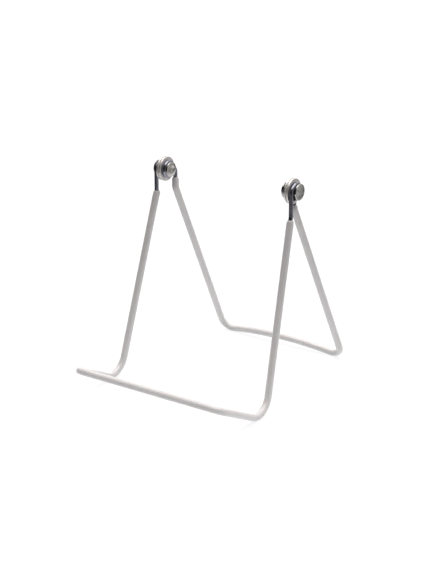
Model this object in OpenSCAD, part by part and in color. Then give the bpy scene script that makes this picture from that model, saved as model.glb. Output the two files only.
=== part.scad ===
// Adjustable wire easel for a photo album: two vinyl-dipped wire frames
// that fold about a pair of clamping pivots.
// Millimetres. +X is the viewer's right, the ledge faces -Y, and Z = 0 is
// the table, with the origin at the middle of the footprint.

/* [Wire] */
// Diameter of the bare steel wire
core_d = 3.0; // [2.4:0.1:3.0]
// Diameter of the wire with its vinyl coating
coat_d = 5.0; // [4.4:0.1:5.2]

/* [Front frame] */
// Height of the pivot axis above the table
pivot_h = 144.6; // [130:0.1:160]
// Lean of the front legs from the vertical
front_lean = 16.3; // [12:0.1:16.5]
// Distance between the front legs at the pivots
front_top_w = 112; // [111:0.5:116]
// Distance between the corners of the feet
foot_w = 125; // [121:0.5:130]
// How far the line of the front legs passes in front of the pivot axis
front_leg_set = 1.5; // [1:0.1:1.6]
// Centreline radius of the bend at each front foot
foot_bend_r = 14; // [10:0.5:18]
// Length of each ledge arm between its corners
arm_len = 56; // [45:0.5:65]
// Rise of the ledge arms towards the ledge bar
arm_rise = 26; // [20:0.5:32]
// Width of the ledge bar between its corners
ledge_w = 121; // [119:0.5:126]
// Centreline radius of the ledge bar's corners
ledge_bend_r = 8; // [6:0.5:12]

/* [Rear frame] */
// Lean of the rear legs from the vertical
rear_lean = 27.6; // [22:0.1:29]
// Distance between the rear legs at the pivots
rear_top_w = 99.6; // [99.6:0.1:99.8]
// Distance between the corners of the rear bar
rear_foot_w = 106; // [103:0.5:108]
// Rise of the middle of the rear bar, which leaves two corners as feet
rear_bow = 4.5; // [2:0.5:6]
// Centreline radius of the rear bar's corners
rear_bend_r = 8; // [6:0.5:12]

/* [Eyes and coating ends] */
// Centreline radius of the wire eyes
eye_r = 5.0; // [4.8:0.1:5.1]
// How far round the front eyes go
front_eye_turn = 235; // [220:1:240]
// How far round the rear eyes go
rear_eye_turn = 280; // [260:1:280]
// Angle round a front eye, from level, at which the wire joins it
front_eye_entry = 58; // [50:1:60]
// Angle round a rear eye, from level, at which the wire joins it
rear_eye_entry = 35; // [30:1:35]
// How far the upright wires below the front eyes stand in front of the axis
front_eye_set = 6.3; // [6.3:0.1:6.5]
// How far the upright wires below the rear eyes stand behind the axis
rear_eye_set = 7.8; // [7.4:0.1:8]
// Bend radius just below each eye
eye_neck_r = 4; // [3.5:0.5:4.5]
// Bend radius where the front legs turn upright below their eyes
front_neck_r = 6; // [5:0.5:6]
// Bend radius where the rear legs turn upright below their eyes
rear_neck_r = 7; // [5:0.5:8]
// Depth below the axis of the coating's end on the left front leg
left_front_bare = 15.0; // [14:0.1:15.2]
// Depth below the axis of the coating's end on the right front leg
right_front_bare = 18.4; // [18:0.1:30]
// Depth below the axis of the coating's end on the left rear leg
left_rear_bare = 7.3; // [7.3:0.1:11]
// Depth below the axis of the coating's end on the right rear leg
right_rear_bare = 12.0; // [8.4:0.1:12]

/* [Pivots] */
// Diameter of the head of each post, on the inner side
post_head_d = 10.8; // [10:0.1:12]
// Diameter of the head of each screw, on the outer side
screw_head_d = 11.4; // [10:0.1:12]
// Height of each head at its rim
rim_h = 0.8; // [0.6:0.1:1.0]
// Height of each head in the middle
head_h = 1.6; // [1.5:0.1:2]
// Width of the screwdriver slot in each screw
slot_w = 1.3; // [1:0.1:1.6]
// Depth of the screwdriver slot
slot_depth = 0.7; // [0.5:0.1:0.8]
// Diameter of the countersunk recess in each post's head
recess_d = 6; // [4:0.2:7]
// Depth of that recess
recess_depth = 1.1; // [0.6:0.1:1.2]
// Thread diameter of the clamping screw
screw_d = 3.5; // [3:0.5:4]
// Length of the clamping screw's thread
screw_len = 7; // [5:0.5:8]
// Diameter of the spring washer under each screw head
spring_d = 11; // [10:0.2:12]
// Thickness of the spring washer
spring_t = 0.8; // [0.6:0.1:1.2]
// Diameter of the washers between the eyes
washer_d = 17.4; // [16:0.2:17.6]
// Thickness of the steel washer on the front eye
front_washer_t = 1.2; // [1:0.1:1.2]
// Thickness of the steel washer on the rear eye
rear_washer_t = 1.1; // [1:0.1:1.1]
// Running gap between pieces that turn on each other
run_gap = 0.05; // [0.03:0.01:0.08]

/* [Hidden] */
$fn = 64;

// Each bend is this much thicker than the straights, which run this far
// into it, so that every joint along a wire has a clean edge.
swell = 0.02;
lap = 0.1;

front_x = front_top_w / 2;
rear_x = rear_top_w / 2;
coat_r = coat_d / 2;

// The post fills the eyes, apart from the running gap.
post_hole = 2 * eye_r - core_d - swell;
post_d = post_hole - 2 * run_gap;

// Depth below the axis at which each leg's line meets its upright wire
front_neck_depth = (front_eye_set - front_leg_set) / tan(front_lean);
rear_neck_depth = rear_eye_set / tan(rear_lean);

// The bend at a foot turns through a level tangent, where it meets the
// table, so its corner point lies this far below the lowest centreline.
foot_drop = foot_bend_r * ((cos(arm_rise) + sin(front_lean)) / (1 + sin(front_lean - arm_rise)) - 1);
front_depth = pivot_h - coat_r + foot_drop;
front_corner_y = -front_leg_set - front_depth * tan(front_lean);
arm_y = arm_len * cos(arm_rise);
arm_z = arm_len * sin(arm_rise);

// The rear bar is one long arc between its two corners. In the plane of
// the rear legs its ends slope by this much.
bar_slope = atan(2 * rear_bow / (rear_foot_w / 2));
rear_splay = atan((rear_foot_w - rear_top_w) / 2 * cos(rear_lean) / pivot_h);
rear_drop = rear_bend_r * ((cos(bar_slope) - sin(rear_splay)) / (1 - sin(rear_splay + bar_slope)) - 1);
rear_len = (pivot_h - coat_r) / cos(rear_lean) + rear_drop;
mid_len = rear_len - 2 * rear_bow;
bar_half = rear_foot_w / 2 / cos(bar_slope);
corner_back = rear_bend_r * tan((90 + rear_splay + bar_slope) / 2);
bar_r = (bar_half - corner_back - 1) / tan(bar_slope);

// Distance of the axis behind the middle of the footprint
front_reach = -front_corner_y + arm_y + coat_r;
rear_reach = (rear_len - rear_drop) * sin(rear_lean) + coat_r;
pivot_y = (front_reach - rear_reach) / 2;

// Height at which the slanting run into an eye meets the upright wire
function kink_z(set, entry) = eye_r * sin(entry) - (set - eye_r * cos(entry)) / tan(entry);

// Corner points of the right half of each frame, from the pivot axis
function on_front(depth) = let (t = (depth - front_neck_depth) / (front_depth - front_neck_depth))
    [
        front_x + t * (foot_w / 2 - front_x),
        -front_leg_set - depth * tan(front_lean),
        -depth
    ];
function on_rear(len) = let (neck = rear_neck_depth / cos(rear_lean), t = (len - neck) / (rear_len - neck))
    [
        rear_x + t * (rear_foot_w / 2 - rear_x),
        len * sin(rear_lean),
        -len * cos(rear_lean)
    ];
front_entry = [front_x, -eye_r * cos(front_eye_entry), eye_r * sin(front_eye_entry)];
front_kink = [front_x, -front_eye_set, kink_z(front_eye_set, front_eye_entry)];
front_eye_start = front_entry + lap * [0, sin(front_eye_entry), cos(front_eye_entry)];
front_neck = on_front(front_neck_depth);
front_corner = on_front(front_depth);
ledge_corner = [ledge_w / 2, front_corner_y - arm_y, arm_z - front_depth];
rear_entry = [rear_x, eye_r * cos(rear_eye_entry), eye_r * sin(rear_eye_entry)];
rear_kink = [rear_x, rear_eye_set, kink_z(rear_eye_set, rear_eye_entry)];
rear_eye_start = rear_entry + lap * [0, -sin(rear_eye_entry), cos(rear_eye_entry)];
rear_neck = [rear_x, rear_eye_set, -rear_neck_depth];
rear_corner = on_rear(rear_len);
bar_middle = [0, mid_len * sin(rear_lean), -mid_len * cos(rear_lean)];

function left_of(p) = [-p.x, p.y, p.z];

front_path = [
    left_of(front_eye_start), left_of(front_kink), left_of(front_neck), left_of(front_corner),
    left_of(ledge_corner), ledge_corner, front_corner, front_neck, front_kink, front_eye_start
];
front_bends = [
    eye_neck_r, front_neck_r, foot_bend_r, ledge_bend_r,
    ledge_bend_r, foot_bend_r, front_neck_r, eye_neck_r
];
rear_path = [
    left_of(rear_eye_start), left_of(rear_kink), left_of(rear_neck), left_of(rear_corner),
    bar_middle, rear_corner, rear_neck, rear_kink, rear_eye_start
];
rear_bends = [eye_neck_r, rear_neck_r, rear_bend_r, bar_r, rear_bend_r, rear_neck_r, eye_neck_r];

// The coating reaches less far up the right legs than up the left ones. On
// the right front leg it stops below the bend.
front_coat_path = [
    [-front_x, -front_eye_set, -left_front_bare], left_of(front_neck), left_of(front_corner),
    left_of(ledge_corner), ledge_corner, front_corner, on_front(right_front_bare)
];
front_coat_bends = [front_neck_r, foot_bend_r, ledge_bend_r, ledge_bend_r, foot_bend_r];
rear_coat_path = [
    [-rear_x, rear_eye_set, -left_rear_bare], left_of(rear_neck), left_of(rear_corner),
    bar_middle, rear_corner, rear_neck, [rear_x, rear_eye_set, -right_rear_bare]
];
rear_coat_bends = [rear_neck_r, rear_bend_r, bar_r, rear_bend_r, rear_neck_r];

// Places along X of the clamped stack, from the middle of the object
eye_half = (core_d + swell) / 2;
front_face = front_x + eye_half;
rear_face = rear_x - eye_half;
front_washer_x = front_x - eye_half - front_washer_t;
rear_washer_x = rear_x + eye_half;
friction_x = rear_washer_x + rear_washer_t + run_gap;

function unit(v) = v / norm(v);
function turn_at(a, p, b) = acos(unit(p - a) * unit(b - p));
function set_back(a, p, b, r) = r * tan(turn_at(a, p, b) / 2);

// A straight round bar from point a to point b
module rod(a, b, d) {
    v = b - a;
    translate(a)
        rotate([0, acos(v.z / norm(v)), atan2(v.y, v.x)])
            cylinder(h = norm(v), d = d);
}

// A round bar bent to radius r at corner p, on the way from a to b
module elbow(a, p, b, r, d) {
    u = unit(p - a);
    w = unit(b - p);
    turn = turn_at(a, p, b);
    centre = p + unit(w - u) * r / cos(turn / 2);
    e = unit(p - u * set_back(a, p, b, r) - centre);
    n = cross(e, u);
    multmatrix([
        [e.x, u.x, n.x, centre.x],
        [e.y, u.y, n.y, centre.y],
        [e.z, u.z, n.z, centre.z]
    ])
        rotate_extrude(angle = turn)
            translate([r, 0])
                circle(d = d + swell);
}

// A round bar along a path, bent to radii[i] at point i + 1
module bent_bar(path, radii, d) {
    last = len(path) - 1;
    backs = [for (i = [1:last - 1]) set_back(path[i - 1], path[i], path[i + 1], radii[i - 1])];
    for (i = [0:last - 1]) {
        u = unit(path[i + 1] - path[i]);
        from = i == 0 ? 0 : backs[i - 1] - lap;
        to = i == last - 1 ? 0 : backs[i] - lap;
        rod(path[i] + u * from, path[i + 1] - u * to, d);
    }
    for (i = [1:last - 1])
        elbow(path[i - 1], path[i], path[i + 1], radii[i - 1], d);
}

// A wire eye round the X axis, from the point on side where the wire joins
// it, over the top and round towards the leg again
module eye(x, side, entry, turn) {
    translate([x, 0, 0])
        multmatrix([[0, 0, side, 0], [side, 0, 0, 0], [0, 1, 0, 0]])
            rotate([0, 0, entry])
                rotate_extrude(angle = turn)
                    translate([eye_r, 0])
                        circle(d = core_d + swell);
}

module at_axis() {
    translate([0, pivot_y, pivot_h])
        children();
}

module on_side(side) {
    at_axis()
        mirror([side < 0 ? 1 : 0, 0, 0])
            children();
}

// A low domed head, its flat face on z = 0
module domed_head(head_d) {
    dome_r = (pow(head_d / 2, 2) + pow(head_h - rim_h, 2)) / (2 * (head_h - rim_h));
    rotate_extrude()
        intersection() {
            square([head_d / 2, head_h]);
            translate([0, head_h - dome_r])
                circle(r = dome_r, $fn = 256);
        }
}

module front_wire() {
    color("dimgray")
        at_axis() {
            bent_bar(front_path, front_bends, core_d);
            for (side = [-1, 1])
                eye(side * front_x, -1, front_eye_entry, front_eye_turn);
        }
}

module front_coating() {
    color("whitesmoke")
        at_axis()
            difference() {
                bent_bar(front_coat_path, front_coat_bends, coat_d);
                bent_bar(front_path, front_bends, core_d);
            }
}

module rear_wire() {
    color("dimgray")
        at_axis() {
            bent_bar(rear_path, rear_bends, core_d);
            for (side = [-1, 1])
                eye(side * rear_x, 1, rear_eye_entry, rear_eye_turn);
        }
}

module rear_coating() {
    color("whitesmoke")
        at_axis()
            difference() {
                bent_bar(rear_coat_path, rear_coat_bends, coat_d);
                bent_bar(rear_path, rear_bends, core_d);
            }
}

// The barrel that the eyes turn on, headed on the inner side and tapped
// from the outer side
module pivot_post(side) {
    color("lightgray")
        on_side(side) {
            difference() {
                translate([rear_face - run_gap, 0, 0])
                    rotate([0, 90, 0])
                        cylinder(h = front_face - rear_face + run_gap, d = post_d);
                translate([front_face - screw_len, 0, 0])
                    rotate([0, 90, 0])
                        cylinder(h = screw_len + 1, d = screw_d);
            }
            translate([rear_face - run_gap, 0, 0])
                rotate([0, -90, 0])
                    difference() {
                        domed_head(post_head_d);
                        translate([0, 0, head_h - recess_depth])
                            cylinder(
                                h = 2 * recess_depth,
                                d1 = recess_d - 2 * recess_depth,
                                d2 = recess_d + 2 * recess_depth
                            );
                    }
        }
}

// The slotted screw that clamps the stack from the outer side
module pivot_screw(side) {
    color("lightgray")
        on_side(side) {
            translate([front_face + spring_t, 0, 0])
                rotate([0, 90, 0])
                    difference() {
                        domed_head(screw_head_d);
                        rotate([0, 0, 65])
                            translate([-screw_head_d, -slot_w / 2, head_h - slot_depth])
                                cube([2 * screw_head_d, slot_w, head_h]);
                    }
            translate([front_face + spring_t - screw_len, 0, 0])
                rotate([0, 90, 0])
                    cylinder(h = screw_len, d = screw_d);
        }
}

// The spring washer that a screw head presses flat on the front eye
module spring_washer(side) {
    color("black")
        on_side(side)
            translate([front_face, 0, 0])
                rotate([0, 90, 0])
                    difference() {
                        cylinder(h = spring_t, d = spring_d);
                        translate([0, 0, -1])
                            cylinder(h = spring_t + 2, d = screw_d + 2 * run_gap);
                    }
}

module washer(side, x, thickness, d) {
    on_side(side)
        translate([x, 0, 0])
            rotate([0, 90, 0])
                difference() {
                    cylinder(h = thickness, d = d);
                    translate([0, 0, -1])
                        cylinder(h = thickness + 2, d = post_hole);
                }
}

module front_washer(side) {
    color("silver")
        washer(side, front_washer_x, front_washer_t, washer_d);
}

module friction_washer(side) {
    color("ivory")
        washer(side, friction_x, front_washer_x - friction_x, washer_d - 0.6);
}

module rear_washer(side) {
    color("silver")
        washer(side, rear_washer_x, rear_washer_t, washer_d);
}

front_wire();
front_coating();
rear_wire();
rear_coating();
pivot_post(-1);  // left_pivot_post
pivot_screw(-1);  // left_pivot_screw
spring_washer(-1);  // left_spring_washer
front_washer(-1);  // left_front_washer
friction_washer(-1);  // left_friction_washer
rear_washer(-1);  // left_rear_washer
pivot_post(1);  // right_pivot_post
pivot_screw(1);  // right_pivot_screw
spring_washer(1);  // right_spring_washer
front_washer(1);  // right_front_washer
friction_washer(1);  // right_friction_washer
rear_washer(1);  // right_rear_washer
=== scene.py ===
import math

import bpy
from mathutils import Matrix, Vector


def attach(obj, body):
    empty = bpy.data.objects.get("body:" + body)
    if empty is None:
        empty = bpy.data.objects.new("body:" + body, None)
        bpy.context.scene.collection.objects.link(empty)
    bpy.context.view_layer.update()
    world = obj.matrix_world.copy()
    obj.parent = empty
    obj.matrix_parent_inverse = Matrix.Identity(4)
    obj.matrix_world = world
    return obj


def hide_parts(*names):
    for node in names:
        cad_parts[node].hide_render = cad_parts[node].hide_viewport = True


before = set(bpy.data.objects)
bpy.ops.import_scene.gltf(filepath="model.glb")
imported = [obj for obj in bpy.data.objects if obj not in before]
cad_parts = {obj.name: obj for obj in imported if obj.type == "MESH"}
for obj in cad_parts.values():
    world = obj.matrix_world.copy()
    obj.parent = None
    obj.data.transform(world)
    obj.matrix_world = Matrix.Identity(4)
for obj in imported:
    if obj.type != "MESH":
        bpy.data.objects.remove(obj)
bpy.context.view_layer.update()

MM = 0.001
# Length of wire, in millimetres, that one unit of its texture space covers
UV_LENGTH = 10

# ---------------------------------------------------------------- dimensions
# The same driving dimensions as the solids, in millimetres.
CORE_D = 3.0
COAT_D = 5.0
PIVOT_H = 144.6
FRONT_LEAN = math.radians(16.3)
FRONT_TOP_W = 112.0
FOOT_W = 125.0
FRONT_LEG_SET = 1.5
FOOT_BEND_R = 14.0
ARM_LEN = 56.0
ARM_RISE = math.radians(26)
LEDGE_W = 121.0
LEDGE_BEND_R = 8.0
REAR_LEAN = math.radians(27.6)
REAR_TOP_W = 99.6
REAR_FOOT_W = 106.0
REAR_BOW = 4.5
REAR_BEND_R = 8.0
EYE_R = 5.0
FRONT_EYE_TURN = math.radians(235)
REAR_EYE_TURN = math.radians(280)
FRONT_EYE_ENTRY = math.radians(58)
REAR_EYE_ENTRY = math.radians(35)
FRONT_EYE_SET = 6.3
REAR_EYE_SET = 7.8
EYE_NECK_R = 4.0
FRONT_NECK_R = 6.0
REAR_NECK_R = 7.0
LEFT_FRONT_BARE = 15.0
RIGHT_FRONT_BARE = 18.4
LEFT_REAR_BARE = 7.3
RIGHT_REAR_BARE = 12.0
POST_HEAD_D = 10.8
SCREW_HEAD_D = 11.4
RIM_H = 0.8
HEAD_H = 1.6
SLOT_W = 1.3
SLOT_DEPTH = 0.7
SLOT_ANGLE = math.radians(65)
RECESS_D = 6.0
RECESS_DEPTH = 1.1
SPRING_D = 11.0
SPRING_T = 0.8
SCREW_D = 3.5
SCREW_LEN = 7.0
WASHER_D = 17.4
FRONT_WASHER_T = 1.2
REAR_WASHER_T = 1.1
RUN_GAP = 0.05

front_x = FRONT_TOP_W / 2
rear_x = REAR_TOP_W / 2
coat_r = COAT_D / 2
core_r = CORE_D / 2
hole_d = 2 * EYE_R - CORE_D - 0.02
post_d = hole_d - 2 * RUN_GAP

# Each foot's bend passes through a level tangent, where it meets the table.
front_neck_depth = (FRONT_EYE_SET - FRONT_LEG_SET) / math.tan(FRONT_LEAN)
rear_neck_depth = REAR_EYE_SET / math.tan(REAR_LEAN)
foot_drop = FOOT_BEND_R * (
    (math.cos(ARM_RISE) + math.sin(FRONT_LEAN)) / (1 + math.sin(FRONT_LEAN - ARM_RISE)) - 1
)
front_depth = PIVOT_H - coat_r + foot_drop
front_corner_y = -FRONT_LEG_SET - front_depth * math.tan(FRONT_LEAN)
arm_y = ARM_LEN * math.cos(ARM_RISE)
arm_z = ARM_LEN * math.sin(ARM_RISE)

bar_slope = math.atan(2 * REAR_BOW / (REAR_FOOT_W / 2))
rear_splay = math.atan((REAR_FOOT_W - REAR_TOP_W) / 2 * math.cos(REAR_LEAN) / PIVOT_H)
rear_drop = REAR_BEND_R * (
    (math.cos(bar_slope) - math.sin(rear_splay)) / (1 - math.sin(rear_splay + bar_slope)) - 1
)
rear_len = (PIVOT_H - coat_r) / math.cos(REAR_LEAN) + rear_drop
mid_len = rear_len - 2 * REAR_BOW
bar_half = REAR_FOOT_W / 2 / math.cos(bar_slope)
corner_back = REAR_BEND_R * math.tan((math.pi / 2 + rear_splay + bar_slope) / 2)
bar_r = (bar_half - corner_back - 1) / math.tan(bar_slope)

front_reach = -front_corner_y + arm_y + coat_r
rear_reach = (rear_len - rear_drop) * math.sin(REAR_LEAN) + coat_r
pivot_y = (front_reach - rear_reach) / 2
AXIS = Vector((0, pivot_y, PIVOT_H))


def on_front(depth):
    t = (depth - front_neck_depth) / (front_depth - front_neck_depth)
    x = front_x + t * (FOOT_W / 2 - front_x)
    return Vector((x, -FRONT_LEG_SET - depth * math.tan(FRONT_LEAN), -depth))


def on_rear(length):
    neck = rear_neck_depth / math.cos(REAR_LEAN)
    t = (length - neck) / (rear_len - neck)
    x = rear_x + t * (REAR_FOOT_W / 2 - rear_x)
    return Vector((x, length * math.sin(REAR_LEAN), -length * math.cos(REAR_LEAN)))


def left_of(p):
    return Vector((-p.x, p.y, p.z))


# ------------------------------------------------------------------- sweeping
def bent_path(corners, radii, step=1.2, arc_step=math.radians(5)):
    """Points along a bar bent to radii[i] at corners[i + 1]."""
    points = [corners[0]]
    for i, r in enumerate(radii):
        a, p, b = corners[i], corners[i + 1], corners[i + 2]
        u, w = (p - a).normalized(), (b - p).normalized()
        turn = u.angle(w)
        start = p - u * r * math.tan(turn / 2)
        centre = p + (w - u).normalized() * r / math.cos(turn / 2)
        e = (start - centre).normalized()
        run = start - points[-1]
        n = max(1, round(run.length / step))
        points += [points[-1] + run * (k / n) for k in range(1, n + 1)]
        n = max(3, round(max(turn / arc_step, turn * r / step / 2)))
        for k in range(1, n + 1):
            t = turn * k / n
            points.append(centre + (e * math.cos(t) + u * math.sin(t)) * r)
    run = corners[-1] - points[-1]
    n = max(1, round(run.length / step))
    points += [points[-1] + run * (k / n) for k in range(1, n + 1)]
    return points


def eye_path(x, side, entry, turn, steps=96):
    """The turn of a wire eye, on from the point on side where the wire joins it."""
    points = []
    for k in range(1, steps + 1):
        t = entry + turn * k / steps
        points.append(Vector((x, side * EYE_R * math.cos(t), EYE_R * math.sin(t))))
    return points


def frames_along(points):
    """Directions and two cross directions at each point, without twist."""
    n = len(points)
    tangents = []
    for i in range(n):
        t = points[min(i + 1, n - 1)] - points[max(i - 1, 0)]
        tangents.append(t.normalized())
    side = tangents[0].orthogonal().normalized()
    out = []
    for i, t in enumerate(tangents):
        if i:
            side = tangents[i - 1].rotation_difference(t) @ side
        side = (side - t * side.dot(t)).normalized()
        out.append((t, side, t.cross(side)))
    return out


def mesh_piece(name, verts, faces, uvs=None):
    mesh = bpy.data.meshes.new(name)
    mesh.from_pydata([tuple(v * MM) for v in verts], [], faces)
    if uvs:
        layer = mesh.uv_layers.new(name="along")
        for poly in mesh.polygons:
            for li in poly.loop_indices:
                layer.data[li].uv = uvs[poly.index][li - poly.loop_start]
    mesh.validate()
    mesh.update()
    piece = bpy.data.objects.new(name, mesh)
    bpy.context.scene.collection.objects.link(piece)
    return piece


def smooth(piece, angle=35):
    mesh = piece.data
    mesh.shade_smooth()
    mesh.set_sharp_from_angle(angle=math.radians(angle))


def sweep(name, points, radius_at, sides=32):
    """A round bar along points. radius_at(distance, length) gives its radius;
    each end is closed by a small fan."""
    frames = frames_along(points)
    dist = [0.0]
    for a, b in zip(points, points[1:]):
        dist.append(dist[-1] + (b - a).length)
    total = dist[-1]
    verts, faces, uvs = [], [], []
    for p, (t, u, w), d in zip(points, frames, dist):
        r = radius_at(d, total)
        for k in range(sides):
            a = 2 * math.pi * k / sides
            verts.append(p + (u * math.cos(a) + w * math.sin(a)) * r)
    for i in range(len(points) - 1):
        for k in range(sides):
            m = (k + 1) % sides
            faces.append((i * sides + k, i * sides + m, (i + 1) * sides + m, (i + 1) * sides + k))
            u0, u1 = k / sides, (k + 1) / sides
            v0, v1 = dist[i] / UV_LENGTH, dist[i + 1] / UV_LENGTH
            uvs.append(((u0, v0), (u1, v0), (u1, v1), (u0, v1)))
    for end, flip in ((0, True), (len(points) - 1, False)):
        centre = len(verts)
        verts.append(points[end])
        for k in range(sides):
            m = (k + 1) % sides
            a, b = end * sides + k, end * sides + m
            faces.append((centre, b, a) if flip else (centre, a, b))
            uvs.append(((0.5, 0), (0.5, 0), (0.5, 0)))
    return mesh_piece(name, [v + AXIS for v in verts], faces, uvs)


def densify_ends(points, reach, n):
    """Adds n closely spaced points within reach of each end."""
    out = []
    for pts in (points, points[::-1]):
        a, d = pts[0], (pts[1] - pts[0]).normalized()
        out.append([a + d * reach * (k / n) ** 1.5 for k in range(n + 1)])
    first, last = out[0], out[1][::-1]
    keep = [
        p for p in points
        if (p - points[0]).length > reach * 1.02 and (p - points[-1]).length > reach * 1.02
    ]
    return first + keep + last


# -------------------------------------------------------------------- turning
def lathe(name, profile, x, side, sides=96):
    """Turns profile points (distance along X, radius) about the pivot axis.
    A radius of zero closes the piece."""
    verts, faces, rings = [], [], []
    for along, r in profile:
        if r < 1e-6:
            rings.append([len(verts)])
            verts.append(Vector((side * (x + along), 0, 0)))
            continue
        rings.append(list(range(len(verts), len(verts) + sides)))
        for k in range(sides):
            a = 2 * math.pi * k / sides
            verts.append(Vector((side * (x + along), r * math.cos(a), r * math.sin(a))))
    loop = list(zip(rings, rings[1:]))
    if profile[0][1] >= 1e-6:
        loop.append((rings[-1], rings[0]))
    for lo, hi in loop:
        for k in range(sides):
            m = (k + 1) % sides
            if len(lo) == 1:
                faces.append((lo[0], hi[m], hi[k]))
            elif len(hi) == 1:
                faces.append((lo[k], lo[m], hi[0]))
            else:
                faces.append((lo[k], lo[m], hi[m], hi[k]))
    if side > 0:
        faces = [f[::-1] for f in faces]
    return mesh_piece(name, [v + AXIS for v in verts], faces)


def rounded(points, r, n=4):
    """Replaces each corner of a closed (along, radius) outline by a small arc."""
    out = []
    count = len(points)
    for i in range(count):
        p = Vector(points[i])
        a = (Vector(points[i - 1]) - p).normalized()
        b = (Vector(points[(i + 1) % count]) - p).normalized()
        for k in range(n + 1):
            t = k / n
            q = p + a * r * (1 - t) ** 2 + b * r * t ** 2
            out.append((q.x, q.y))
    return out


def washer(name, x, thickness, d, hole_d, side, edge=0.18):
    outline = [
        (0, hole_d / 2), (thickness, hole_d / 2), (thickness, d / 2), (0, d / 2)
    ]
    return lathe(name, rounded(outline, edge), x, side, 128)


def head_columns(outer_r):
    """Places across a slotted head, close together at the slot's edges."""
    half = SLOT_W / 2
    inner = [0, 0.3 * half, 0.6 * half, 0.85 * half, half - 0.07, half - 0.04]
    lip = [half - 0.02, half + 0.01, half + 0.04, half + 0.08, half + 0.14]
    n = 22
    span = outer_r - half - 0.14
    rest = [half + 0.14 + span * math.sin(math.pi / 2 * k / n) for k in range(1, n + 1)]
    right = inner[1:] + lip + rest
    return [-c for c in right[::-1]] + [0] + right


def slotted_head(name, head_d, face_x, side, slot_angle, shank):
    """A domed head with a slot across it, its flat face at face_x. shank is
    the profile (distance along X, radius) of what goes on behind that face."""
    outer_r = head_d / 2
    dome_r = (outer_r ** 2 + (HEAD_H - RIM_H) ** 2) / (2 * (HEAD_H - RIM_H))
    edge = 0.22
    floor_h = HEAD_H - SLOT_DEPTH

    def dome(r):
        h = HEAD_H - dome_r + math.sqrt(max(dome_r ** 2 - r ** 2, 0))
        if r > outer_r - edge:
            t = (r - outer_r + edge) / edge
            h -= edge * 0.9 * (1 - math.sqrt(max(1 - t * t, 0)))
        return h

    def height(u, r):
        h = dome(r)
        a = abs(u)
        half = SLOT_W / 2
        if a < half - 0.03:
            return min(h, floor_h + 0.05 * (a / half) ** 4)
        if a < half + 0.14 and h > floor_h:
            t = min(1, max(0, (a - half + 0.03) / 0.17))
            drop = h - floor_h
            return h - drop * max(0, 1 - t / 0.3) - 0.07 * min(1, drop) * (1 - t) ** 2 * min(1, t / 0.3)
        return h

    cos_s, sin_s = math.cos(slot_angle), math.sin(slot_angle)
    verts, faces = [], []

    def place(u, v, h):
        y, z = u * cos_s - v * sin_s, u * sin_s + v * cos_s
        return Vector((side * (face_x + h), y, z))

    columns = head_columns(outer_r)
    rows = [math.sin(math.pi / 2 * (k / 30)) for k in range(-30, 31)]
    grid = []
    for u in columns:
        chord = math.sqrt(max(outer_r ** 2 - u * u, 0))
        line = []
        for t in rows:
            if chord < 1e-6:
                line.append(line[0] if line else len(verts))
                if len(line) > 1:
                    continue
            else:
                line.append(len(verts))
            v = chord * t
            verts.append(place(u, v, height(u, math.hypot(u, v))))
        grid.append(line)
    for a, b in zip(grid, grid[1:]):
        for k in range(len(rows) - 1):
            f = []
            for vert in (a[k], b[k], b[k + 1], a[k + 1]):
                if vert not in f:
                    f.append(vert)
            if len(f) > 2:
                faces.append(tuple(f))
    rim = [line[-1] for line in grid] + [line[0] for line in grid[-2:0:-1]]
    rim_points = [verts[i].copy() for i in rim]
    below = []
    for h, r in ((RIM_H * 0.55, outer_r), (0.12, outer_r), (0.0, outer_r - 0.12)):
        ring = []
        for p in rim_points:
            q = Vector((0, p.y, p.z)).normalized() * r
            ring.append(len(verts))
            verts.append(Vector((side * (face_x + h), q.y, q.z)))
        below.append(ring)
    for h, r in shank:
        if r < 1e-6:
            below.append([len(verts)])
            verts.append(Vector((side * (face_x + h), 0, 0)))
            continue
        ring = []
        for p in rim_points:
            q = Vector((0, p.y, p.z)).normalized() * r
            ring.append(len(verts))
            verts.append(Vector((side * (face_x + h), q.y, q.z)))
        below.append(ring)
    last = rim
    n = len(rim)
    for ring in below:
        for k in range(n):
            m = (k + 1) % n
            if len(ring) == 1:
                faces.append((last[k], last[m], ring[0]))
            else:
                faces.append((last[k], last[m], ring[m], ring[k]))
        last = ring
    piece = mesh_piece(name, [v + AXIS for v in verts], faces)
    fix_normals(piece)
    return piece


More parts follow.
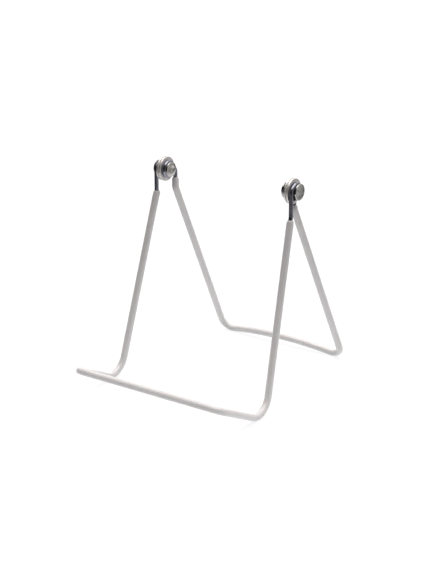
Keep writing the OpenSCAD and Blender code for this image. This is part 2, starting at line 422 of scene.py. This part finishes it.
def recessed_post(name, x, barrel_len, side):
    """A barrel with a low domed head, recessed in the middle like a rolled
    rivet, and a tapped hole in the other end."""
    outer_r = POST_HEAD_D / 2
    dome_r = (outer_r ** 2 + (HEAD_H - RIM_H) ** 2) / (2 * (HEAD_H - RIM_H))

    def dome(r):
        return HEAD_H - dome_r + math.sqrt(max(dome_r ** 2 - r ** 2, 0))

    lip_r = RECESS_D / 2
    floor_r = lip_r - RECESS_DEPTH
    bottom = HEAD_H - RECESS_DEPTH
    profile = [(-bottom, 0), (-bottom, 0.6 * floor_r), (-bottom - 0.02, 0.85 * floor_r)]
    profile.append((-bottom - 0.12, floor_r))
    for k in range(1, 6):
        r = floor_r + (lip_r - 0.12 - floor_r) * k / 5
        profile.append((-bottom - 0.12 - (dome(lip_r) - bottom - 0.24) * k / 5, r))
    profile += [(-dome(lip_r) + 0.03, lip_r), (-dome(lip_r + 0.12), lip_r + 0.12)]
    steps = 14
    edge = 0.3
    for k in range(1, steps + 1):
        r = lip_r + 0.12 + (outer_r - edge - lip_r - 0.12) * k / steps
        profile.append((-dome(r), r))
    for k in range(1, 7):
        t = math.pi / 2 * k / 6
        profile.append((-dome(outer_r - edge) + edge * (1 - math.cos(t)), outer_r - edge * (1 - math.sin(t))))
    profile += [(-0.15, outer_r), (-0.04, outer_r - 0.04), (0, outer_r - 0.15), (0, post_d / 2)]
    profile += [(barrel_len - 0.2, post_d / 2), (barrel_len, post_d / 2 - 0.2)]
    profile += [(barrel_len, SCREW_D / 2), (barrel_len - SCREW_LEN, SCREW_D / 2), (barrel_len - SCREW_LEN, 0)]
    piece = lathe(name, profile, x, side)
    fix_normals(piece)
    return piece


def fix_normals(piece):
    import bmesh
    bm = bmesh.new()
    bm.from_mesh(piece.data)
    bmesh.ops.remove_doubles(bm, verts=bm.verts, dist=1e-7)
    bmesh.ops.recalc_face_normals(bm, faces=bm.faces)
    bm.to_mesh(piece.data)
    bm.free()
    piece.data.update()


# ------------------------------------------------------------------ materials
class Nodes:
    """A small helper for wiring one material's nodes."""

    def __init__(self, name):
        self.material = bpy.data.materials.new(name)
        self.material.use_nodes = True
        self.tree = self.material.node_tree
        self.shader = self.tree.nodes["Principled BSDF"]

    def new(self, kind, **values):
        made = self.tree.nodes.new(kind)
        for key, value in values.items():
            setattr(made, key, value)
        return made

    def link(self, a, b):
        self.tree.links.new(a, b)

    def place(self, scale=(1, 1, 1), source="Object"):
        coords = self.new("ShaderNodeTexCoord")
        mapping = self.new("ShaderNodeMapping")
        mapping.inputs["Scale"].default_value = scale
        self.link(coords.outputs[source], mapping.inputs["Vector"])
        return mapping.outputs["Vector"]

    def noise(self, vector, scale, detail=4, roughness=0.55):
        made = self.new("ShaderNodeTexNoise")
        made.inputs["Scale"].default_value = scale
        made.inputs["Detail"].default_value = detail
        made.inputs["Roughness"].default_value = roughness
        self.link(vector, made.inputs["Vector"])
        return made.outputs["Fac"]

    def ramp(self, factor, stops):
        made = self.new("ShaderNodeValToRGB")
        elements = made.color_ramp.elements
        while len(elements) < len(stops):
            elements.new(0.5)
        for element, (at, colour) in zip(elements, stops):
            element.position = at
            element.color = (*colour, 1) if len(colour) == 3 else colour
        self.link(factor, made.inputs["Fac"])
        return made.outputs["Color"]

    def math(self, operation, a, b=None):
        made = self.new("ShaderNodeMath", operation=operation)
        for socket, value in zip(made.inputs, (a, b)):
            if value is None:
                continue
            if isinstance(value, (int, float)):
                socket.default_value = value
            else:
                self.link(value, socket)
        return made.outputs["Value"]

    def span(self, factor, low, high, from_low=0.0, from_high=1.0):
        made = self.new("ShaderNodeMapRange")
        made.inputs["From Min"].default_value = from_low
        made.inputs["From Max"].default_value = from_high
        made.inputs["To Min"].default_value = low
        made.inputs["To Max"].default_value = high
        self.link(factor, made.inputs["Value"])
        return made.outputs["Result"]

    def mix(self, factor, a, b, blend="MIX"):
        made = self.new("ShaderNodeMix", data_type="RGBA", blend_type=blend)
        sockets = (made.inputs[0], made.inputs[6], made.inputs[7])
        for socket, value in zip(sockets, (factor, a, b)):
            if isinstance(value, (int, float)):
                socket.default_value = value
            elif isinstance(value, tuple):
                socket.default_value = (*value, 1)
            else:
                self.link(value, socket)
        return made.outputs[2]

    def bump(self, height, distance, strength=1.0, after=None):
        made = self.new("ShaderNodeBump")
        made.inputs["Strength"].default_value = strength
        made.inputs["Distance"].default_value = distance
        self.link(height, made.inputs["Height"])
        if after is not None:
            self.link(after, made.inputs["Normal"])
        return made.outputs["Normal"]

    def set(self, **values):
        for key, value in values.items():
            socket = self.shader.inputs[key.replace("_", " ")]
            if isinstance(value, (int, float)):
                socket.default_value = value
            elif isinstance(value, tuple):
                socket.default_value = (*value, 1) if len(value) == 3 else value
            else:
                self.link(value, socket)
        return self.material


def vinyl_material():
    n = Nodes("white_vinyl")
    at = n.place()
    soft = n.noise(at, 55, 3)
    cloud = n.noise(at, 14, 3)
    fine = n.noise(at, 900, 3)
    base = n.ramp(soft, [(0.3, (0.675, 0.665, 0.666)), (0.7, (0.723, 0.712, 0.706))])
    base = n.mix(n.span(cloud, 0, 0.5, 0.45, 0.75), base, (0.710, 0.690, 0.668))
    scuff = n.noise(n.place((1, 1, 4)), 420, 6, 0.7)
    scuff_mask = n.math("MULTIPLY", n.span(scuff, 0, 1, 0.60, 0.70), n.span(cloud, 0, 1, 0.5, 0.62))
    base = n.mix(n.math("MULTIPLY", scuff_mask, 0.35), base, (0.42, 0.41, 0.40))
    # Darker and rougher in the lowest 4 mm, where the feet and the rear bar rest on the table.
    split = n.new("ShaderNodeSeparateXYZ")
    n.link(at, split.inputs["Vector"])
    low = n.span(split.outputs["Z"], 1, 0, 0.0, 0.004)
    bottom_darkening = n.math("MULTIPLY", low, n.span(soft, 0.2, 1, 0.35, 0.65))
    base = n.mix(n.math("MULTIPLY", bottom_darkening, 0.55), base, (0.36, 0.345, 0.32))
    rough = n.math("ADD", n.span(soft, 0.26, 0.38), n.math("MULTIPLY", scuff_mask, 0.2))
    rough = n.math("ADD", rough, n.math("MULTIPLY", bottom_darkening, 0.2))
    wavy = n.bump(soft, 0.00006, 0.6)
    normal = n.bump(fine, 0.000012, 0.7, wavy)
    return n.set(
        Base_Color=base, Roughness=rough, Normal=normal, IOR=1.52,
        Coat_Weight=0.25, Coat_Roughness=0.18, Subsurface_Weight=0.05, Subsurface_Scale=0.001,
    )


def bare_wire_material():
    n = Nodes("bare_steel")
    along = n.place((40, 1.2, 1), "UV")
    drawn = n.noise(along, 3.0, 5, 0.65)
    at = n.place()
    patch = n.noise(at, 260, 4)
    speck = n.noise(at, 1600, 3)
    base = n.ramp(
        patch, [(0.3, (0.165, 0.17, 0.205)), (0.55, (0.25, 0.255, 0.30)), (0.75, (0.37, 0.37, 0.41))]
    )
    base = n.mix(n.span(drawn, 0, 0.4, 0.45, 0.7), base, (0.42, 0.43, 0.47))
    rust = n.math("MULTIPLY", n.span(speck, 0, 1, 0.58, 0.68), n.span(patch, 0, 1, 0.5, 0.65))
    base = n.mix(n.math("MULTIPLY", rust, 0.6), base, (0.15, 0.075, 0.045))
    rough = n.math("ADD", n.span(drawn, 0.18, 0.34), n.math("MULTIPLY", rust, 0.3))
    normal = n.bump(speck, 0.000015, 0.6, n.bump(drawn, 0.00003, 0.7))
    return n.set(Base_Color=base, Metallic=0.92, Roughness=rough, Normal=normal)


def plated_material():
    n = Nodes("nickel_plate")
    at = n.place()
    rings = n.place((1, 22, 22))
    turned = n.noise(rings, 120, 3, 0.6)
    patch = n.noise(at, 330, 4)
    speck = n.noise(at, 2200, 3)
    base = n.ramp(
        patch, [(0.3, (0.38, 0.36, 0.345)), (0.55, (0.50, 0.49, 0.475)), (0.75, (0.60, 0.595, 0.585))]
    )
    dull = n.math("MULTIPLY", n.span(speck, 0, 1, 0.57, 0.7), n.span(patch, 1, 0, 0.35, 0.6))
    base = n.mix(n.math("MULTIPLY", dull, 0.6), base, (0.14, 0.12, 0.10))
    rough = n.math("ADD", n.span(patch, 0.14, 0.32), n.math("MULTIPLY", dull, 0.25))
    normal = n.bump(turned, 0.00001, 0.5, n.bump(speck, 0.000012, 0.5))
    return n.set(Base_Color=base, Metallic=1.0, Roughness=rough, Normal=normal)


def washer_material():
    n = Nodes("zinc_plate")
    at = n.place()
    patch = n.noise(at, 240, 5)
    grain = n.noise(n.place((1, 9, 1)), 700, 3)
    speck = n.noise(at, 1900, 3)
    base = n.ramp(
        patch, [(0.3, (0.66, 0.635, 0.625)), (0.6, (0.78, 0.76, 0.75)), (0.78, (0.86, 0.84, 0.84))]
    )
    dull = n.span(speck, 0, 1, 0.6, 0.72)
    base = n.mix(n.math("MULTIPLY", dull, 0.5), base, (0.30, 0.27, 0.24))
    rough = n.math("ADD", n.span(grain, 0.42, 0.60), n.math("MULTIPLY", dull, 0.15))
    normal = n.bump(grain, 0.000012, 0.6, n.bump(speck, 0.00001, 0.5))
    return n.set(Base_Color=base, Metallic=1.0, Roughness=rough, Normal=normal)


# Black-oxide spring washer. It is made near-black so that it also stands in for the shade in the gap between
# the front eye and the screw head.
def gap_shade_washer_material():
    n = Nodes("spring_steel_painted_gap_shade")
    at = n.place()
    patch = n.noise(at, 420, 4)
    speck = n.noise(at, 2100, 3)
    base = n.ramp(patch, [(0.35, (0.018, 0.018, 0.021)), (0.7, (0.045, 0.043, 0.044))])
    worn = n.math("MULTIPLY", n.span(speck, 0, 1, 0.58, 0.7), n.span(patch, 0, 1, 0.5, 0.7))
    base = n.mix(n.math("MULTIPLY", worn, 0.5), base, (0.16, 0.15, 0.14))
    rough = n.math("ADD", n.span(patch, 0.36, 0.52), n.math("MULTIPLY", worn, -0.1))
    return n.set(Base_Color=base, Metallic=0.8, Roughness=rough, Normal=n.bump(speck, 0.000012, 0.5))


def nylon_material():
    n = Nodes("nylon")
    at = n.place()
    patch = n.noise(at, 300, 4)
    speck = n.noise(at, 2400, 3)
    base = n.ramp(patch, [(0.3, (0.60, 0.56, 0.47)), (0.7, (0.72, 0.69, 0.62))])
    base = n.mix(n.span(speck, 0, 0.4, 0.55, 0.7), base, (0.42, 0.38, 0.31))
    return n.set(
        Base_Color=base, Roughness=n.span(patch, 0.42, 0.6), Normal=n.bump(speck, 0.00001, 0.6),
        Subsurface_Weight=0.15, Subsurface_Scale=0.001,
    )


vinyl = vinyl_material()
steel = bare_wire_material()
plate = plated_material()
zinc = washer_material()
nylon = nylon_material()
black_gap_shade = gap_shade_washer_material()


def finish_piece(piece, node, body, material, angle=35):
    smooth(piece, angle)
    piece.data.materials.clear()
    piece.data.materials.append(material)
    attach(piece, body)
    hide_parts(node)
    return piece


# --------------------------------------------------------------------- pieces
front_neck = on_front(front_neck_depth)
front_corner = on_front(front_depth)
ledge_corner = Vector((LEDGE_W / 2, front_corner_y - arm_y, arm_z - front_depth))
rear_neck = Vector((rear_x, REAR_EYE_SET, -rear_neck_depth))
rear_corner = on_rear(rear_len)
bar_middle = Vector((0, mid_len * math.sin(REAR_LEAN), -mid_len * math.cos(REAR_LEAN)))


def wire_points(x, side, eye_set, entry, turn, corners, radii):
    """The whole wire of one frame: left eye, bent bar, right eye."""
    y, z = EYE_R * math.cos(entry), EYE_R * math.sin(entry)
    start = Vector((-x, side * y, z))
    kink = Vector((-x, side * eye_set, z - (eye_set - y) / math.tan(entry)))
    path = bent_path(
        [start, kink] + corners + [left_of(kink), left_of(start)], [EYE_NECK_R] + radii + [EYE_NECK_R]
    )
    right = eye_path(x, side, entry, turn)
    left = [left_of(p) for p in right]
    return left[::-1] + path + right


def wire_radius(d, total):
    """Plain round wire with its two cropped ends slightly broken."""
    near = min(d, total - d)
    bevel = 0.25
    if near < bevel:
        return core_r - bevel * (1 - near / bevel) * 0.8
    return core_r


def coat_radius(seed):
    """Dipped vinyl: a rounded lip at each end, then a nearly even skin."""
    def radius(d, total):
        near = min(d, total - d)
        lip = 2.4
        skin = coat_r - 0.03 + 0.028 * math.sin(d * 0.21 + seed) * math.sin(d * 0.083 + 2 * seed)
        if near < lip:
            t = 1 - near / lip
            skin -= (coat_r - core_r - 0.12) * (1 - math.sqrt(max(1 - t * t, 0)))
        return max(skin, core_r + 0.03)
    return radius


front_corners = [left_of(front_neck), left_of(front_corner), left_of(ledge_corner),
                 ledge_corner, front_corner, front_neck]
front_radii = [FRONT_NECK_R, FOOT_BEND_R, LEDGE_BEND_R, LEDGE_BEND_R, FOOT_BEND_R, FRONT_NECK_R]
rear_corners = [left_of(rear_neck), left_of(rear_corner), bar_middle, rear_corner, rear_neck]
rear_radii = [REAR_NECK_R, REAR_BEND_R, bar_r, REAR_BEND_R, REAR_NECK_R]

front_line = wire_points(
    front_x, -1, FRONT_EYE_SET, FRONT_EYE_ENTRY, FRONT_EYE_TURN, front_corners, front_radii
)
rear_line = wire_points(
    rear_x, 1, REAR_EYE_SET, REAR_EYE_ENTRY, REAR_EYE_TURN, rear_corners, rear_radii
)
front_wire = sweep("front_bare_wire", densify_ends(front_line, 0.5, 5), wire_radius, 40)
rear_wire = sweep("rear_bare_wire", densify_ends(rear_line, 0.5, 5), wire_radius, 40)
finish_piece(front_wire, "front_wire", "front_frame", steel)
finish_piece(rear_wire, "rear_wire", "rear_frame", steel)

front_coat_line = bent_path(
    [Vector((-front_x, -FRONT_EYE_SET, -LEFT_FRONT_BARE))] + front_corners[:5]
    + [on_front(RIGHT_FRONT_BARE)],
    front_radii[:5],
)
rear_coat_line = bent_path(
    [Vector((-rear_x, REAR_EYE_SET, -LEFT_REAR_BARE))] + rear_corners
    + [Vector((rear_x, REAR_EYE_SET, -RIGHT_REAR_BARE))],
    rear_radii,
)
front_coat = sweep("front_vinyl", densify_ends(front_coat_line, 2.4, 18), coat_radius(0.7), 48)
rear_coat = sweep("rear_vinyl", densify_ends(rear_coat_line, 2.4, 18), coat_radius(2.1), 48)
finish_piece(front_coat, "front_coating", "front_frame", vinyl, 60)
finish_piece(rear_coat, "rear_coating", "rear_frame", vinyl, 60)

front_face = front_x + core_r
rear_face = rear_x - core_r
front_washer_x = front_x - core_r - FRONT_WASHER_T
rear_washer_x = rear_x + core_r
friction_x = rear_washer_x + REAR_WASHER_T + RUN_GAP

for word, side in (("left", -1), ("right", 1)):
    post = recessed_post(word + "_post", rear_face - RUN_GAP, front_face - rear_face + RUN_GAP, side)
    thread = [(0, SCREW_D / 2)]
    turns = 16
    for k in range(turns):
        a = -0.1 - (SCREW_LEN - 0.5) * k / turns
        thread += [(a, SCREW_D / 2), (a - 0.2, SCREW_D / 2 - 0.2)]
    thread += [(-SCREW_LEN, SCREW_D / 2 - 0.3), (-SCREW_LEN, 0)]
    screw = slotted_head(
        word + "_screw", SCREW_HEAD_D, front_face + SPRING_T, side, SLOT_ANGLE * side, thread
    )
    # The spring washer's near-black colour is partly painted shade for the gap between the front eye and the
    # screw head.
    spring = washer(
        word + "_spring_disc", front_face, SPRING_T, SPRING_D, SCREW_D + 2 * RUN_GAP, side, 0.22
    )
    finish_piece(post, word + "_pivot_post", "front_frame", plate, 40)
    finish_piece(screw, word + "_pivot_screw", "front_frame", plate, 40)
    finish_piece(spring, word + "_spring_washer", "front_frame", black_gap_shade)
    made = washer(word + "_front_disc", front_washer_x, FRONT_WASHER_T, WASHER_D, hole_d, side)
    finish_piece(made, word + "_front_washer", "front_frame", zinc)
    made = washer(
        word + "_friction_disc", friction_x, front_washer_x - friction_x, WASHER_D - 0.6,
        hole_d, side, 0.12
    )
    finish_piece(made, word + "_friction_washer", "front_frame", nylon)
    made = washer(word + "_rear_disc", rear_washer_x, REAR_WASHER_T, WASHER_D, hole_d, side)
    finish_piece(made, word + "_rear_washer", "rear_frame", zinc)

# ----------------------------------------------------------- floor and lights
# A glowing strip of pale paper that starts in front of the stand and runs
# away behind it, squared up to the camera. Past its edges the room is dark.
VIEW_AZIMUTH = math.radians(34.98)
floor_right = Vector((math.cos(VIEW_AZIMUTH), math.sin(VIEW_AZIMUTH), 0))
floor_back = Vector((-math.sin(VIEW_AZIMUTH), math.cos(VIEW_AZIMUTH), 0))
floor = mesh_piece(
    "floor",
    [
        floor_right * across + floor_back * along
        for across, along in ((-260, -340), (260, -340), (420, 3000), (-420, 3000))
    ],
    [(0, 1, 2, 3)],
)
ground = Nodes("pale_floor")
mottle = ground.noise(ground.place(), 3, 2)
floor.data.materials.append(
    ground.set(
        Base_Color=ground.ramp(mottle, [(0.3, (0.195, 0.195, 0.195)), (0.7, (0.205, 0.205, 0.205))]),
        Roughness=0.9, Specular_IOR_Level=0.1,
        Emission_Color=(0.985, 0.985, 1.0), Emission_Strength=0.83,
    )
)


# The room round a glowing table: a broad light overhead and another high up
# behind, both slightly warm, with a dim band low down behind. The camera
# itself sees plain white.
world = bpy.data.worlds.new("studio")
bpy.context.scene.world = world
world.use_nodes = True
tree = world.node_tree
sky = tree.nodes["Background"]
coords = tree.nodes.new("ShaderNodeTexCoord")


def glow(direction, start, colour, strength, below=None):
    """A soft patch of light round a direction, added to the one below."""
    towards = tree.nodes.new("ShaderNodeVectorMath")
    towards.operation = "DOT_PRODUCT"
    towards.inputs[1].default_value = Vector(direction).normalized()
    tree.links.new(coords.outputs["Generated"], towards.inputs[0])
    patch = tree.nodes.new("ShaderNodeMapRange")
    patch.interpolation_type = "SMOOTHSTEP"
    patch.inputs["From Min"].default_value = start
    patch.inputs["From Max"].default_value = 1.0
    patch.inputs["To Min"].default_value = 0.0
    patch.inputs["To Max"].default_value = strength
    tree.links.new(towards.outputs["Value"], patch.inputs["Value"])
    tint = tree.nodes.new("ShaderNodeVectorMath")
    tint.operation = "MULTIPLY_ADD"
    tint.inputs[1].default_value = colour
    tint.inputs[2].default_value = (0, 0, 0)
    tree.links.new(patch.outputs["Result"], tint.inputs[0])
    if below is not None:
        tree.links.new(below, tint.inputs[2])
    return tint.outputs["Vector"]


room = glow((0, 0, 1), 0.75, (1.0, 0.952, 0.950), 4.0)
room = glow((-0.405, 0.579, 0.707), 0.5, (1.0, 0.982, 0.950), 1.06, room)
room = glow((-0.565, 0.807, 0.174), 0.5, (1.0, 0.982, 0.950), 0.32, room)
room = glow((0.807, 0.565, 0.174), 0.5, (1.0, 0.985, 0.970), 0.60, room)
plain = tree.nodes.new("ShaderNodeLightPath")
shown = tree.nodes.new("ShaderNodeMix")
shown.data_type = "RGBA"
shown.inputs[7].default_value = (1.1, 1.1, 1.1, 1)
tree.links.new(plain.outputs["Is Camera Ray"], shown.inputs[0])
tree.links.new(room, shown.inputs[6])
tree.links.new(shown.outputs[2], sky.inputs["Color"])

# --------------------------------------------------------------------- camera
VIEW_ELEVATION = math.radians(19.12)
VIEW_DISTANCE = 991.93
# Where the camera aims, from the table under the pivot axis
AIM_RIGHT = -9.18
AIM_UP = 64.01
LENS = 86.8
SENSOR_WIDTH = 36
back = Vector((
    math.sin(VIEW_AZIMUTH) * math.cos(VIEW_ELEVATION),
    -math.cos(VIEW_AZIMUTH) * math.cos(VIEW_ELEVATION),
    math.sin(VIEW_ELEVATION),
))
right = Vector((math.cos(VIEW_AZIMUTH), math.sin(VIEW_AZIMUTH), 0))
up = back.cross(right)
camera_data = bpy.data.cameras.new("camera")
camera_data.lens = LENS
camera_data.sensor_width = SENSOR_WIDTH
camera = bpy.data.objects.new("camera", camera_data)
bpy.context.scene.collection.objects.link(camera)
aim = Vector((0, pivot_y, 0)) + right * AIM_RIGHT + up * AIM_UP
camera.location = (aim + back * VIEW_DISTANCE) * MM
camera.rotation_mode = "QUATERNION"
camera.rotation_quaternion = (-back).to_track_quat("-Z", "Y")
bpy.context.scene.camera = camera
bpy.context.scene.view_settings.view_transform = "Standard"
